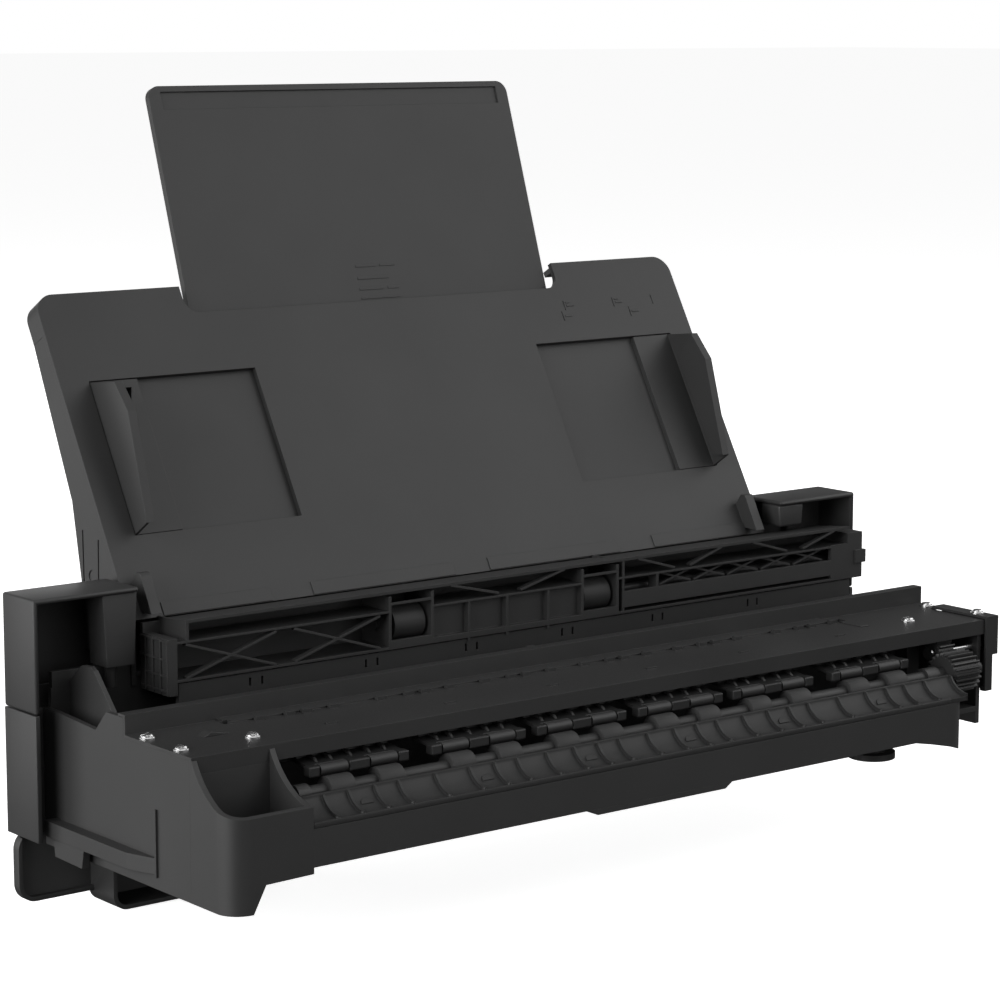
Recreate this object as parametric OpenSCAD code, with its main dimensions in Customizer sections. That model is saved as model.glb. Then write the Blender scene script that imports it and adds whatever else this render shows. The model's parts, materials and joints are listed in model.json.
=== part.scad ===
// Automatic sheet feeder accessory for a wide-format office machine.
// Millimetres, +Z up, -Y is the side the sheets leave from, X runs across the sheets.
// Modules are drawn from the design datum (the centre plane of the sheets and the
// working level of the printer); at_datum() moves them so that the origin is the
// bottom centre of the whole part.

/* [Overall] */
// Width over the two end covers
cover_w = 474; // [470:1:480]
// Depth of the part's centre behind the datum
datum_back = 13.42; // [13.4:0.01:13.44]
// Height of the datum above the lowest point of the part
datum_low = 12; // [12:0.5:12]

/* [Sheet tray] */
// Lean of the tray back from upright
tray_tilt = 29.82; // [29.5:0.01:30.2]
// Width of the tray
tray_w = 368.4; // [366:0.2:369]
// Length of the tray front face up its slope, from the datum
tray_top = 177; // [175:0.5:179]
// Thickness of the tray skin
tray_skin = 2.5; // [2:0.1:2.5]
// Inner edge of each guide opening from the centre plane
guide_open_in = 82.3; // [81.5:0.1:83]
// Outer edge of each guide opening from the centre plane
guide_open_out = 169.6; // [169:0.1:170.5]

/* [Tray extension] */
// Lean of the extension back from upright
ext_tilt = 18.2; // [18:0.1:18.4]
// Width of the extension
ext_w = 209.2; // [206:0.2:209.4]
// Length of the extension above the tray
ext_out = 97.2; // [94:0.2:98]
// Thickness of the extension
ext_t = 3.2; // [2.6:0.1:3.3]

/* [Feed] */
// Radius of the feed rollers
feed_r = 5.75; // [5.4:0.05:5.8]
// Radius of the pinch rollers
pinch_r = 2.4; // [2.2:0.05:2.4]
// Radius of the feed shaft
shaft_r = 3; // [3:0.1:3]
// Teeth of the wide gear on the feed shaft
drive_teeth = 22; // [22:1:22]
// Teeth of the idler gear
idler_teeth = 14; // [14:1:14]
// Radius of the two pick rollers
pick_r = 8; // [7.6:0.1:8.1]

/* [Sheet metal] */
// Thickness of the top plate and the gear bracket
sheet_t = 1.2; // [1:0.1:1.2]

/* [Hidden] */
$fn = 40;

half_w = cover_w / 2;
wall = 2.5;                       // moulded wall
base_x = 225.4;                   // outer face of the base side walls
base_front = -113;
base_low = 45;
floor_z = [59, 61.5];
plate_top = 104;
plate_low = plate_top - sheet_t;
plate_front = -86;
upstand_y = -36.9;
upstand_top = 112.3;

tray_foot = [13.34, 116.07];      // where the tray front face crosses its own zero
ext_foot = [102.75, 266.7];
open_low = 61.2;                  // lower and upper edge of the guide openings
open_high = 134.4;

feed_at = [-93, 83.3];
idler_at = [-80, 90.55];
pinch_at = [-89.6, 91.06];
pivot_at = [-47, 100];
pivot_r = 1.3;
axle_r = 1.2;
run_gap = 0.05;                   // radial play of a turning shaft
pick_at = [12, 122];
gear_module = 0.82;
rack_pitch_r = 8;
pinion_s = 98;
groups = [-148.5, -87, -31, 25.5, 81.3, 143];   // centres of the six roller groups
roller_off = 12.4;                // feed rollers either side of a group's centre
roller_w = 12;

frame_x = [-179.7, 230.3];
frame_y = [2, 24.6];
frame_z = [112, 138.5];
frame_shelf = 129.6;
bays = [[-64, -40.4], [47.3, 68.8]];

// centre and radius of the curve shared by the side wall and the pocket rib
cheek_c = [-117.5, 118.5];
cheek_r = 35.3;
// centre and radius of the exit guide surface
exit_c = [-113, 89.85];
exit_r = 13.35;
exit_x = [-186, 186.4];
// a rib at the left, three to each roller group, one between groups and two at the right
exit_ribs = concat([-173.8], [for (g = groups, d = [-13, 0, 12]) g + d],
    [for (i = [0:4]) (groups[i] + groups[i + 1]) / 2], [168.4, 185.8]);

plate_screw_at = [[-221, -46.3], [-221, -71.6], [-186.5, -70.6], [194.2, -65.4], [229, -44.3],
    [230, -77]];
bush_r = 4.3;
flag_at = [-18, 99];              // pivot of the sheet sensor flag
flag_r = 1.2;
pick_shaft_r = 2.5;
pick_bore = pick_shaft_r + run_gap;
// direction from the wide gear to the idler, in the plane that the gears are drawn in
mesh_angle = atan2(idler_at[0] - feed_at[0], feed_at[1] - idler_at[1]);
pinion_teeth = 16;
pinion_module = 2 * rack_pitch_r / pinion_teeth;
rack_teeth = 22;

// ---------- helpers ----------
module at_datum() translate([0, -datum_back, -datum_low]) children();
module on_tray() translate([0, tray_foot[0], tray_foot[1]]) rotate([-tray_tilt, 0, 0]) children();
module on_ext() translate([0, ext_foot[0], ext_foot[1]]) rotate([-ext_tilt, 0, 0]) children();

// a box between three pairs of limits
module box(x, y, z)
    translate([x[0], y[0], z[0]]) cube([x[1] - x[0], y[1] - y[0], z[1] - z[0]]);

// a round bar along X through the point at = [y, z]
module rod(x, at, r)
    translate([x[0], at[0], at[1]]) rotate([0, 90, 0]) cylinder(h = x[1] - x[0], r = r);

// a (y, z) outline with thickness along X
module side_plate(x, outline)
    translate([x[0], 0, 0]) rotate([90, 0, 90]) linear_extrude(x[1] - x[0]) polygon(outline);

// an (x, z) drawing with thickness along Y
module front_plate(y)
    translate([0, y[1], 0]) rotate([90, 0, 0]) linear_extrude(y[1] - y[0]) children();

// a flat bar of width w from p to q, in a drawing
module bar(p, q, w)
    translate(p) rotate(atan2(q[1] - p[1], q[0] - p[0])) translate([0, -w / 2])
        square([norm(q - p), w]);

// a rectangle with round corners of radius r
module round_rect(x, z, r) {
    translate([x[0] + r, z[0]]) square([x[1] - x[0] - 2 * r, z[1] - z[0]]);
    translate([x[0], z[0] + r]) square([x[1] - x[0], z[1] - z[0] - 2 * r]);
    for (cx = [x[0] + r, x[1] - r], cz = [z[0] + r, z[1] - r]) translate([cx, cz]) circle(r);
}

// a curved (y, z) band about c between two radii, with thickness along X; it fills the
// quarter in front of and below the centre, down from the height top
module curved_plate(x, c, r, top)
    translate([x[0], 0, 0]) rotate([90, 0, 90]) linear_extrude(x[1] - x[0]) intersection() {
        translate(c) difference() {
            circle(r[1]);
            circle(r[0]);
        }
        translate([c[0], c[1] - r[1] - 1]) square([r[1] + 1, top - c[1] + r[1] + 1]);
    }

// a spur gear outline with straight-sided teeth
module gear_2d(teeth, m, phase = 0) {
    pr = teeth * m / 2;
    step = 360 / teeth;
    polygon([for (i = [0:teeth - 1]) let (a = i * step + phase)
        each [[(pr - 1.15 * m) * cos(a - step * 0.27), (pr - 1.15 * m) * sin(a - step * 0.27)],
              [pr * cos(a - step * 0.21), pr * sin(a - step * 0.21)],
              [(pr + 0.9 * m) * cos(a - step * 0.11), (pr + 0.9 * m) * sin(a - step * 0.11)],
              [(pr + 0.9 * m) * cos(a + step * 0.11), (pr + 0.9 * m) * sin(a + step * 0.11)],
              [pr * cos(a + step * 0.21), pr * sin(a + step * 0.21)],
              [(pr - 1.15 * m) * cos(a + step * 0.27), (pr - 1.15 * m) * sin(a + step * 0.27)]]]);
}

// ---------- base ----------
module base_chassis() at_datum() color([0.10, 0.10, 0.11]) {
    // left wall, notched behind the plate
    side_plate([-base_x, -base_x + wall], [
        [28.5, base_low], [28.5, 103.7], [18.5, 103.9], [-13.7, 102], [-22.5, 111],
        [-35.6, 111], [-35.6, plate_low], [-84.6, plate_low], [-84.6, base_low]]);
    // right wall behind the wide gear
    difference() {
        box([base_x - wall, base_x], [-84, 28.5], [53, plate_low]);
        rod([base_x - 5, base_x + 1], idler_at, 1.5);
    }
    // floor
    difference() {
        translate([0, 0, floor_z[0]]) linear_extrude(floor_z[1] - floor_z[0])
            polygon([[-222.9, -84.6], [-222.9, 28.5], [222.9, 28.5], [222.9, -84], [186, -84],
                     [175, -110.5], [-186.2, -110.5], [-186.2, -84.6]]);
        for (g = groups) box([g - 20, g + 20], [-70, -50], [58, 62]);
    }
    // front beam below the exit guide
    box([-186.2, 175], [base_front, base_front + wall], [floor_z[0], 74.5]);
    // round front right corner
    difference() {
        translate([175, -99, 48.5]) cylinder(h = 26, r = 14);
        translate([175, -99, 48]) cylinder(h = 29, r = 14 - wall);
        box([150, 175], [-114, -80], [47, 77]);
        box([150, 192], [-99, -80], [47, 77]);
        front_plate([-116, -98]) polygon([[150, 40], [150, 58], [168, 56.2], [180, 52.4],
            [192, 48.6], [192, 40]]);
    }
    box([189 - wall, 189], [-99, -84], [floor_z[0], 76]);
    front_plate([base_front, base_front + wall])
        polygon([[152, floor_z[0]], [163, 56.8], [175, 54], [175, floor_z[0]]]);
    // rear wall, guide wall behind the sheet path and the shelf that joins them
    box([-base_x + wall, base_x - wall], [26, 28.5], [base_low, frame_z[0]]);
    for (s = [-1, 1]) box([s * 203.4 - 19, s * 203.4 + 19], [26, 28.5], [107, 119]);
    difference() {
        box([-174.5, 222.9], [3, 5.5], [floor_z[1], 111.4]);
        for (g = groups, d = [10.3, 16.6]) box([g + d - 0.6, g + d + 0.6], [2, 6], [105.6, 109.2]);
    }
    box([-174.5, 222.9], [5.5, 26], [106, 108]);
    for (x = [-160, -100, 0, 100, 180]) box([x - 2, x + 2], [8, 24], [108, frame_z[0]]);
    for (s = [-1, 1]) box([s * 183 - 1.2, s * 183 + 1.2], [24.8, 28.5], [108, frame_z[0]]);
    // cross ribs under the plate
    for (x = [-205, -174, -118, -59, -3, 53, 112, 172, 205])
        box([x - 1, x + 1], [-38, 3], [floor_z[1], x < -200 || x > 200 ? plate_low : 97]);
    box([-222.9, 222.9], [-38, -36], [floor_z[1], 100]);
    // bosses under the plate screws
    for (p = plate_screw_at) if (abs(p[0]) < 222) box([p[0] - 4, p[0] + 4], [p[1] - 4, p[1] + 4],
        [floor_z[1], plate_low]);
    box([-222.9, -216], [-78, -40], [92, plate_low]);
    // posts that carry the bushes of the feed shaft
    for (x = [[-182, -176], [176, 184]]) difference() {
        box(x, [-97, -88], [floor_z[1], 82]);
        rod([x[0] - 1, x[1] + 1], feed_at, bush_r);
    }
    // lugs that carry the sheet sensor flag
    for (x = [-13, 11]) difference() {
        box([x, x + 2], [-22, -14], [floor_z[1], 102]);
        rod([x - 1, x + 3], flag_at, flag_r + run_gap);
    }
    // triangular gusset inside the left end
    side_plate([-214, -211.8], [[28.5, 90], [28.5, 111.8],
        [17.9, 121.2], [15, 122.6], [9, 122.8], [6.1, 121.6], [-7.2, 107.8], [-14, 100], [-14, 90]]);
    box([-222.9, -211.8], [-14, 28.5], [88, 90]);
    box([211.8, 214], [-14, 26], [61.5, plate_low]);
}

// Open pocket at the front left, with the curved rib on its right.
module front_pocket() at_datum() color([0.11, 0.11, 0.12]) {
    pocket_shell();
    box([-base_x + 5, -187], [base_front + 5, -86.2], [57, 59]);
    box([-base_x + 1, -187], [-86, -84.8], [57, 97]);
}
module pocket_shell() difference() {
    intersection() {
        translate([0, 0, base_low]) linear_extrude(60) difference() {
            union() {
                translate([-base_x + 10, base_front]) square([29.2, 28.4]);
                translate([-base_x, base_front + 10]) square([15, 18.4]);
                translate([-base_x + 10, base_front + 10]) circle(10);
            }
            translate([-base_x + 10, base_front + wall]) square([26.7, 30]);
            translate([-base_x + wall, base_front + 10]) square([10, 30]);
            translate([-base_x + 10, base_front + 10]) circle(10 - wall);
        }
        // everything behind and below the front curve
        difference() {
            box([-base_x - 1, -180], [-114, -84], [40, plate_top]);
            rod([-base_x - 2, -179], cheek_c, cheek_r);
        }
    }
    box([-base_x + wall, -180], [-86.1, -84], [40, 110]);
    box([-base_x - 1, -180], [-86.1, -84], [plate_low, 110]);
    front_plate([-115, -83]) polygon([[-217.5, 40], [-208.9, 56], [-187, 56.4],
        [-180, 57], [-180, 40]]);
}

// Curved and ribbed surface that the sheets leave over.
module exit_guide() at_datum() color([0.12, 0.12, 0.13]) {
    curved_plate(exit_x, exit_c, [exit_r, exit_r + 2], 84);
    box(exit_x, [-101.2, -99.4], [79, 84.8]);
    for (x = exit_ribs) curved_plate([x - 0.6, x + 0.6], exit_c, [exit_r - 1.4, exit_r + 1], 84.4);
    // front lip and the legs that carry the guide
    box([exit_x[0], 175], [base_front, base_front + 1.6], [74.5, 77]);
    for (x = exit_ribs) box([x - 0.6, x + 0.6], [-103, -99.4], [floor_z[1], 79.5]);
}

// ---------- sheet metal ----------
module top_plate() at_datum() color([0.07, 0.07, 0.08]) difference() {
    union() {
        box([-base_x, base_x], [plate_front, upstand_y + sheet_t], [plate_low, plate_top]);
        box([base_x, 233], [-50, upstand_y + sheet_t], [plate_low, plate_top]);
        box([-222.8, base_x], [plate_front, plate_front + sheet_t], [97, plate_low]);
        box([-base_x, 233], [upstand_y, upstand_y + sheet_t], [plate_top, upstand_top]);
        box([-base_x, 233], [upstand_y, upstand_y + 5.4], [upstand_top - sheet_t, upstand_top]);
        box([-181.5, 163], [-45.6, upstand_y], [plate_top, plate_top + 0.7]);
        for (g = groups) {
            // lugs that carry the pinch holder pivots
            for (d = [-20, 20]) box([g + d - 0.6, g + d + 0.6], [-50, -44], [97.4, plate_low]);
            // lanced hooks along the pivots
            for (d = [-19, -4.2, 4.2, 18]) box([g + d - 2.2, g + d + 2.2], [-49, -46.6],
                [plate_top, plate_top + 1.8]);
            box([g - 2, g + 3], [-72, -70.9], [plate_top, plate_top + 0.8]);
        }
    }
    for (g = groups) {
        for (d = [-20, 20]) rod([g + d - 1, g + d + 1], pivot_at, pivot_r + run_gap);
        for (d = [-19, -4.2, 4.2, 18]) box([g + d - 2.2, g + d + 2.2], [-46.6, -45], [101, 106]);
        box([g - 2, g + 3], [-70.7, -69], [101, 106]);
    }
    box([166, 172], [-62, -41], [101, 106]);
    box([-183, -179], [-45, -41], [101, 106]);
    for (p = plate_screw_at) if (p[0] < 229.5) translate([p[0], p[1], 100]) cylinder(h = 6, r = 1.6);
}

module plate_screws() at_datum() color([0.85, 0.85, 0.86]) for (i = [0:5]) {
    p = plate_screw_at[i];
    z = i < 5 ? plate_top : 105.4;
    translate([p[0], p[1], z]) difference() {
        union() {
            cylinder(h = 1.1, r = 3.1);
            translate([0, 0, 1.1]) cylinder(h = 0.9, r = 2.5);
            translate([0, 0, -sheet_t]) cylinder(h = sheet_t, r = 1.6);
        }
        for (a = [0, 90]) rotate(a + 20) translate([-1.5, -0.3, 1.2]) cube([3, 0.6, 2]);
    }
}

module gear_bracket() at_datum() color([0.08, 0.08, 0.09]) difference() {
    union() {
        front_plate([-87.2, -86.1]) polygon([[225.6, 69], [230.5, 69], [230.5, 86.5], [234, 86.5],
            [234, 105.4], [225.6, 105.4]]);
        box([232.8, 234], [-86.1, -51], [86.5, 105.4]);
        box([229.3, 230.5], [-86.1, -51], [69, 86.5]);
        box([225.6, 232.8], [-86.1, -51], [104.2, 105.4]);
        box([229.3, 234], [-86.1, -51], [86.5, 87.7]);
        box([225.4, 229.3], [-86.1, -84.2], [69, 71]);
        box([225.4, 229.3], [-62, -60], [69, 100]);
    }
    translate([230, -77, 100]) cylinder(h = 6, r = 1.6);
}

// ---------- small base parts ----------
module latch_plate() at_datum() color([0.09, 0.09, 0.10]) {
    front_plate([base_front, -100]) polygon([[-44, floor_z[0]], [-40, 56.4], [33, 56.4], [37, floor_z[0]]]);
    box([-30, 24], [-100, -88], [57.4, floor_z[0]]);
}

module foot_disc() at_datum() color([0.08, 0.08, 0.09]) {
    translate([151.5, -85, 47.5]) cylinder(h = 3, r = 11);
    translate([151.5, -85, 50.5]) cylinder(h = 8.5, r = 6);
}

// Rail that guides the left side into its machine, with a wedge end.
module side_rail() at_datum() color([0.10, 0.10, 0.11]) {
    box([-231, -base_x], [-45, 20], [51.3, 58]);
    translate([0, 0, 51.3]) linear_extrude(6.7)
        polygon([[-231, -45], [-base_x - 0.9, -59.8], [-base_x, -59.8], [-base_x, -45]]);
    box([-226.4, -base_x], [-60.4, -59.2], [50, 78]);
}

module side_clip() at_datum() color([0.10, 0.10, 0.11]) {
    box([-230.8, -base_x], [-4, 12], [48, 51.3]);
    side_plate([-230.8, -227.5], [[12.9, 51.3], [11.7, 43.9], [-9.8, 43.4], [-11.5, 51.3]]);
}

// ---------- end covers ----------
// The open box on top of each end, drawn for the left side.
module cover_upper() difference() {
    box([-half_w, -186], [14.6, 40.7], [104.2, 152.8]);
    box([-half_w + 2.3, -185], [14, 38.4], [104, 150.5]);
}

module cover_left_upper() at_datum() color([0.10, 0.10, 0.11]) cover_upper();

module cover_right_upper() at_datum() color([0.10, 0.10, 0.11]) {
    mirror([1, 0, 0]) difference() {
        cover_upper();
        box([-230.6, -185], [30, 42], [103, 112]);
    }
    box([209, 219], [34, 38.4], [133, 142]);
}

module cover_left_lower() at_datum() color([0.10, 0.10, 0.11]) {
    box([-half_w, -half_w + 2.3], [14.6, 40.7], [49.6, 103.9]);
    box([-half_w + 2.3, -190], [38.4, 40.7], [49.6, 103.9]);
    box([-half_w + 2.3, -base_x], [28.5, 30.8], [49.6, 103.9]);
    for (z = [52, 76, 101]) box([-232, -192], [28.5, 38.4], [z, z + 2]);
    box([-228, -208], [36.2, 38.4], [95, 112]);
}

module cover_right_lower() at_datum() color([0.10, 0.10, 0.11]) mirror([1, 0, 0]) {
    box([-half_w, -half_w + 2.3], [14.6, 40.7], [62, 103.9]);
    box([-half_w + 2.3, -190], [38.4, 40.7], [62, 103.9]);
    for (z = [64, 101]) box([-half_w + 2.3, -192], [28.5, 38.4], [z, z + 2]);
    box([-half_w + 2.3, -231], [36.2, 38.4], [95, 112]);
}

// Tapered post with the pin that locates the left end.
module locating_post_left() at_datum() color([0.11, 0.11, 0.12]) {
    front_plate([16, 30]) polygon([[-203, 150.5], [-201.4, 119.5], [-188, 119.5], [-186.4, 150.5]]);
    translate([-196.5, 22, 110]) cylinder(h = 9.5, r = 2.4);
    box([-199, -192], [30, 38.4], [124, 150.5]);
}

module locating_post_right() at_datum() color([0.11, 0.11, 0.12]) {
    front_plate([16, 30]) polygon([[203, 150.5], [202, 139.5], [187.4, 139.5], [186.4, 150.5]]);
    box([192, 199], [30, 38.4], [140, 150.5]);
}

// Two-step trough that closes the back of the left end below the covers.
module rear_trough() at_datum() color([0.10, 0.10, 0.11]) {
    difference() {
        front_plate([36, 40.7]) round_rect([-half_w + 2.5, -150], [18.3, 49.4], 8);
        front_plate([35, 38.6]) round_rect([-half_w + 4.5, -152], [20.3, 51.4], 6);
        front_plate([30, 41]) polygon([[-198, 16], [-198, 36], [-140, 36], [-140, 16]]);
    }
    difference() {
        front_plate([20, 40.7]) round_rect([-198, -112], [12, 45], 7);
        front_plate([19, 38.6]) round_rect([-196, -114], [14, 46], 5);
    }
    for (x = [-184, -128]) box([x, x + 2], [28.5, 38.6], [30, base_low + 6]);
    box([-184, -126], [26, 28.5], [40, base_low]);
}

// ---------- pick-up frame ----------
module frame_braces() {
    w = 1.1;
    for (p = [[-171, -125], [-115.5, -69.5]]) {
        bar([p[0], 128], [p[1], 113.4], w);
        bar([p[1], 128], [p[0], 113.4], w);
    }
    for (s = [[-30, 137.2, -2.4, 130.6], [10.5, 130.6, 36.4, 137.2], [81.6, 137.2, 104.6, 130.6],
              [114.6, 130.6, 134.9, 137.2], [155.7, 137.2, 178.5, 130.6], [189.3, 130.6, 210.8, 137.2]])
        bar([s[0], s[1]], [s[2], s[3]], w);
}

module pickup_frame() at_datum() color([0.09, 0.09, 0.10]) difference() {
    union() {
        // box section: back, top and bottom
        box(frame_x, [frame_y[1] - 2, frame_y[1]], [frame_z[0], 135.2]);
        side_plate([-171, 221.6], [[frame_y[0], 137.1], [frame_y[0], frame_z[1]],
            [frame_y[1], 135.8], [frame_y[1], 134.4]]);
        difference() {
            box(frame_x, frame_y, [frame_z[0], frame_z[0] + 1.2]);
            for (b = bays) box([b[0] + 1, b[1] - 1], [4, 21], [frame_z[0] - 1, frame_z[0] + 2]);
        }
        // ends
        box([frame_x[0], frame_x[0] + 4.2], frame_y, [106.5, 131]);
        box([-171, -169.6], frame_y, [frame_shelf, 137]);
        box([220.2, frame_x[1]], frame_y, [frame_z[0], 135]);
        // shelf between the two rows
        box([frame_x[0], -64], [frame_y[0], 20], [frame_shelf - 1, frame_shelf]);
        box([-40.4, 47.3], [frame_y[0], 20], [frame_shelf - 1, frame_shelf]);
        box([68.8, 221], [frame_y[0], 20], [frame_shelf - 1, frame_shelf]);
        // walls of the roller bays
        for (b = bays, x = b) box([x - 0.7, x + 0.7], frame_y, [frame_z[0], 136]);
        for (b = bays) box(b, [frame_y[0], 4], [frame_z[0], 116]);
        for (b = bays) box(b, [frame_y[0], frame_y[0] + 1.2], [132, 133.2]);
        // diagonal braces
        front_plate([frame_y[0], 5]) intersection() {
            frame_braces();
            translate([-178, frame_z[0]]) square([400, 26]);
        }
        // shallow cells in the middle
        box([-40.4, 47.3], [5, 6.2], [114, frame_shelf]);
        box([-40.4, 47.3], [frame_y[0], 6.2], [113.2, 114.6]);
        for (x = [-19.6, 2.4, 26.8]) box([x - 0.6, x + 0.6], [frame_y[0], 6.2], [110.6, frame_shelf]);
        // right section: window over a solid band over a slot
        box([71.8, 73], frame_y, [frame_z[0], 137]);
        box([71.8, 221], [frame_y[0], 4], [114.8, 122.6]);
        box([93, 94.4], [frame_y[0], 8], [114.8, frame_shelf]);
        box([208.7, 221], [frame_y[0], 4], [113, 130]);
        box([225, 232], [1, frame_y[0] + 1], [119.5, 126]);
        front_plate([4.4, 6.4]) for (i = [0:4]) {
            bar([97 + 22 * i, 128.6], [117 + 22 * i, 122.8], 1);
            bar([97 + 22 * i, 122.8], [117 + 22 * i, 128.6], 1);
        }
    }
    rod([-70, 225], pick_at, pick_bore);
}
module pick_shaft() at_datum() color([0.6, 0.6, 0.62]) rod([-66, 219], pick_at, pick_shaft_r);
module pick_roller(x) at_datum() color([0.16, 0.16, 0.17]) difference() {
    rod(x, pick_at, pick_r);
    rod([x[0] - 1, x[1] + 1], pick_at, pick_shaft_r);
}
module pick_roller_left() pick_roller([-60, -43]);
module pick_roller_right() pick_roller([50, 66]);
module pick_gear() at_datum() color([0.2, 0.2, 0.21])
    translate([213.4, pick_at[0], pick_at[1]]) rotate([0, 90, 0]) linear_extrude(5) difference() {
        gear_2d(16, 0.7);
        circle(pick_shaft_r);
    }

module separation_pads() at_datum() color([0.25, 0.22, 0.2])
    for (b = bays) box([b[0] + 3, b[1] - 3], [8, 17], [108, 113.5]);

// Light lever that the sheet pushes over.
module paper_flag() at_datum() color([0.14, 0.14, 0.15]) {
    rod([-13, 13], flag_at, flag_r);
    box([-2, 2], [flag_at[0] - 1, flag_at[0] + 1], [flag_at[1], 109]);
    box([6, 9], [flag_at[0] - 0.8, flag_at[0] + 0.8], [88, flag_at[1]]);
}

// ---------- sheet tray ----------
module tray_outline(inset) {
    r = 9 - inset;
    translate([-tray_w / 2 + inset, 23.3]) square([tray_w - 2 * inset, tray_top - 32.3]);
    translate([-tray_w / 2 + 9, 100]) square([tray_w - 18, tray_top - 100 - inset]);
    for (s = [-1, 1]) translate([s * (tray_w / 2 - 9), tray_top - 9]) circle(r);
}
module tray_face() difference() {
    tray_outline(0);
    // notch that the extension comes out of
    round_rect([-109, 108.6], [163.6, 200], 7);
}

module input_tray() at_datum() color([0.12, 0.12, 0.13]) {
    on_tray() difference() {
        union() {
            front_plate([0, tray_skin]) difference() {
                tray_face();
                for (s = [-1, 1]) translate([s > 0 ? guide_open_in : -guide_open_out, open_low])
                    square([guide_open_out - guide_open_in, open_high - open_low]);
            }
            // rim round the top corners
            front_plate([1.2, 11.3]) difference() {
                tray_outline(0);
                tray_outline(2.7);
                translate([-200, 0]) square([400, 158]);
                translate([-112, 0]) square([224, 200]);
            }
            // floor behind the guides
            box([-181, 181], [5.4, 7], [57, 139]);
            for (z = [[55.5, 57], [139, 140.5]]) box([-181, 181], [tray_skin, 7], z);
            translate([0, 12.6, pinion_s]) rotate([90, 0, 0]) cylinder(h = 6, r = 2);
        }
        // slots that let each guide reach its rack
        box([-158, -78], [5, 8], [pinion_s + 6, pinion_s + 16]);
        box([78, 158], [5, 8], [pinion_s - 16, pinion_s - 6]);
        // size marks
        for (m = [[108, 151], [105, 145.5], [139.5, 151], [148.3, 145.5], [165.2, 151]])
            box([m[0] - 0.3, m[0] + 0.3], [-1, 0.3], [m[1], m[1] + 5]);
    }
    // cheeks down each side
    difference() {
        for (x = [-184.1, 181.8]) translate([x, 0, 0]) rotate([90, 0, 90]) linear_extrude(2.3) {
            translate(tray_foot) rotate(-tray_tilt) polygon([[1.2, 24.5], [1.2, 162],
                [11.2, 162], [18, 86.3], [29.3, 53], [43, 29]]);
            polygon([[24.9, frame_z[0]], [24.9, 133], [64, 133], [64, frame_z[0]]]);
        }
        // slits of the sprung tabs in the left cheek
        side_plate([-185, -183.2], [[63, 170.4], [64, 170.4], [63.5, 147], [62.5, 147]]);
        side_plate([-185, -183.2], [[50, 167.8], [51, 167.8], [51.4, 147], [50.4, 147]]);
        rod([-185, -183.6], [56, 150.8], 3);
    }
    // ears that end the tray beside the pick-up frame
    for (s = [-1, 1]) side_plate([s * 175.4 - 2.6, s * 175.4 + 2.6],
        [[29.5, 139.8], [18, 139.2], [26.4, 154.8], [27.4, 155.8], [29.8, 155.8], [34, 150]]);
}

module tray_pads() at_datum() color([0.13, 0.13, 0.14]) on_tray()
    for (x = [[-167.4, -111], [-89, -9.6], [10.8, 90], [112, 172.6]]) box(x, [-0.4, 0], [23.6, 29.8]);

// Rear half of the tray housing with the sleeve for the extension.
module tray_shell() at_datum() color([0.10, 0.10, 0.11]) difference() {
    union() {
        on_tray() difference() {
            side_plate([-181.8, 181.8], [[tray_skin, 141], [tray_skin, 166], [11.5, 166], [18.2, 86.3],
                [29.5, 53], [43.9, 28], [40.6, 26.8], [27.4, 51], [16.1, 85.4], [9.6, 141]]);
            box([-108, 108], [0, 20], [150, 180]);
            // room for the rim of the tray
            front_plate([1.1, 11.6]) difference() {
                translate([-200, 157.5]) square([400, 40]);
                tray_outline(2.9);
            }
        }
        on_ext() difference() {
            box([-108.6, 108.6], [-0.3, 5.6], [-150, -13]);
            box([-105, 105], [-1, 3.6], [-148, 0]);
        }
        box([-181.8, 181.8], [24.8, 63.5], [frame_z[0], frame_z[0] + 2]);
        box([-181.8, 181.8], [61.5, 63.5], [frame_z[0], 142]);
    }
    on_ext() box([-105, 105], [-30, 3.6], [-146.5, 60]);
}

module tray_extension() at_datum() color([0.12, 0.12, 0.13]) on_ext() {
    difference() {
        front_plate([0, ext_t]) round_rect([-ext_w / 2, ext_w / 2], [-58, ext_out], 6);
        // shallow band below the top edge
        box([-98, 98], [-1, 0.9], [86, 94.4]);
    }
    box([-ext_w / 2 + 4, ext_w / 2 - 4], [ext_t, 8.8], [88, 92]);
}

// Side guide drawn for the left side: base plate, raised block and the tall fin, whose inner
// face is undercut.
module side_guide() {
    box([-176, -66], [2.8, 5.1], [60, 136]);
    box([-guide_open_out + 0.3, -145], [0.4, 2.8], [open_low + 0.4, open_high - 0.4]);
    side_plate([-169.2, -167.8], [[0.5, 61.7], [0.5, 133.9], [-18.8, 125.5], [-22.3, 110],
        [-11, 62.5]]);
    side_plate([-168, -165], [[-5, 65.4], [-5, 119.6], [-15.5, 125.2], [-18.8, 125.5],
        [-22.3, 110], [-11, 62.5]]);
}

module guide_left() at_datum() color([0.12, 0.12, 0.13]) on_tray() {
    side_guide();
    // hollow three-sided stop at the top of the fin
    difference() {
        intersection() {
            side_plate([-165.2, -156], [[0.5, 126], [-18.8, 125.5], [-22.3, 110], [0.5, 106]]);
            rotate([90, 0, 0]) linear_extrude(30, center = true)
                polygon([[-165.2, 127], [-157.6, 127], [-157.6, 124], [-163.6, 106], [-165.2, 106]]);
        }
        translate([0, -8, 0]) rotate([90, 0, 0]) linear_extrude(30)
            polygon([[-164.4, 124], [-159, 124], [-162.8, 113]]);
    }
    box([-150, -142], [5.1, 8.2], [pinion_s + 8.5, pinion_s + 14]);
}

module guide_right() at_datum() color([0.12, 0.12, 0.13]) on_tray() {
    mirror([1, 0, 0]) side_guide();
    box([142, 150], [5.1, 8.2], [pinion_s - 14, pinion_s - 8.5]);
}

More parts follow.
